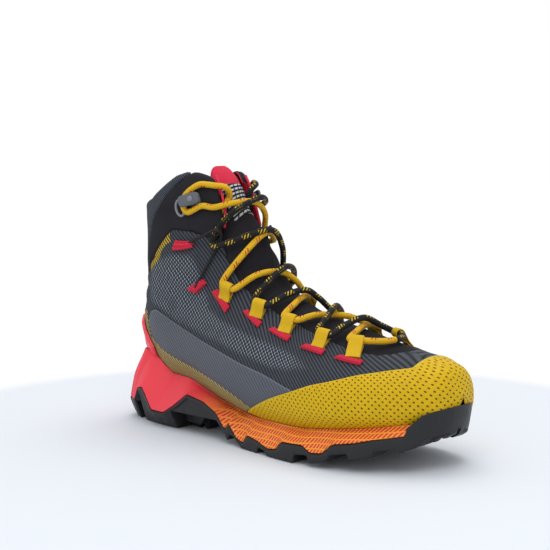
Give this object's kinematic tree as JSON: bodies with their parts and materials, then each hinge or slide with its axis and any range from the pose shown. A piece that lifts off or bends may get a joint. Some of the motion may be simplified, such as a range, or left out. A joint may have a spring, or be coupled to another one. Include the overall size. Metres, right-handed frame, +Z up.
{
  "type": "mountaineering boot",
  "caption": "Right-foot mid-height mountaineering boot, laced, with sock-like upper, toe cap, cleated heeled sole, lace loops and speed hooks.",
  "frame": {"origin": "middle of the footprint's box, on the ground under the boot", "axes": "+X to the toe along the boot's length, +Y to the medial (big toe) side, +Z up"},
  "size_m": [0.293, 0.102, 0.1929],
  "materials": {
    "knit": "ribbed engineered knit",
    "toe_cap": "perforated film",
    "lower_band": "fine diagonal rib",
    "side_film": "thin film over ribs",
    "softshell": "smooth stretch cloth",
    "achilles": "fine vertical rib",
    "padding": "open-cell foam",
    "lining": "brushed knit",
    "stiffener": "pressed sheet",
    "tongue": "padded stretch cloth",
    "tongue_mesh": "open mesh with light dashes",
    "board": "lasting board",
    "shank": "glass-filled nylon",
    "footbed": "moulded foam with cloth top",
    "midsole": "moulded foam, red to orange",
    "outsole": "moulded lugs",
    "heel_clip": "moulded",
    "webbing": "woven webbing",
    "anchor_tab": "stitched tab",
    "ankle_cord": "thin braided cord",
    "hook": "moulded",
    "wire": "satin",
    "piping": "bound edge",
    "lace_yellow": "braided, with red flecks",
    "lace_black": "braided, with yellow flecks",
    "aglet": "shrunk sleeve"
  },
  "bodies": {
    "boot": {"knit_upper": "knit", "toe_cap": "toe_cap", "lower_band": "lower_band", "achilles_panel": "achilles", "side_panel_lateral": "side_film", "side_panel_medial": "side_film", "collar_lateral": "softshell", "collar_medial": "softshell", "collar_padding": "padding", "lining": "lining", "heel_counter": "stiffener", "toe_puff": "stiffener", "lasting_board": "board", "shank": "shank", "footbed": "footbed", "midsole": "midsole", "outsole": "outsole", "heel_clip": "heel_clip", "lace_loop_lateral_1": "webbing", "lace_loop_lateral_2": "webbing", "lace_loop_lateral_3": "webbing", "lace_loop_lateral_4": "webbing", "lace_loop_lateral_5": "webbing", "anchor_tab_lateral_1": "anchor_tab", "anchor_tab_lateral_2": "anchor_tab", "anchor_tab_lateral_3": "anchor_tab", "anchor_tab_lateral_4": "anchor_tab", "anchor_tab_lateral_5": "anchor_tab", "anchor_tab_lateral_6": "anchor_tab", "anchor_tab_lateral_7": "anchor_tab", "ankle_loop_lateral": "ankle_cord", "hook_lateral": "hook", "hook_rivet_lateral": "wire", "hook_ring_lateral": "wire", "collar_piping_lateral": "piping", "lace_loop_medial_1": "webbing", "lace_loop_medial_2": "webbing", "lace_loop_medial_3": "webbing", "lace_loop_medial_4": "webbing", "lace_loop_medial_5": "webbing", "anchor_tab_medial_1": "anchor_tab", "anchor_tab_medial_2": "anchor_tab", "anchor_tab_medial_3": "anchor_tab", "anchor_tab_medial_4": "anchor_tab", "anchor_tab_medial_5": "anchor_tab", "anchor_tab_medial_6": "anchor_tab", "anchor_tab_medial_7": "anchor_tab", "ankle_loop_medial": "ankle_cord", "hook_medial": "hook", "hook_rivet_medial": "wire", "hook_ring_medial": "wire", "collar_piping_medial": "piping", "lace_yellow": "lace_yellow", "lace_black": "lace_black", "aglet_yellow": "aglet", "aglet_black": "aglet"},
    "tongue": {"tongue": "tongue", "tongue_lining": "lining", "tongue_mesh": "tongue_mesh"}
  },
  "joints": [
    {"name": "tongue_flex", "type": "hinge", "parent": "boot", "child": "tongue", "pos_m": [0.108, 0, 0.0695], "axis": [0, -1, 0], "range_deg": [0, 5]}
  ]
}
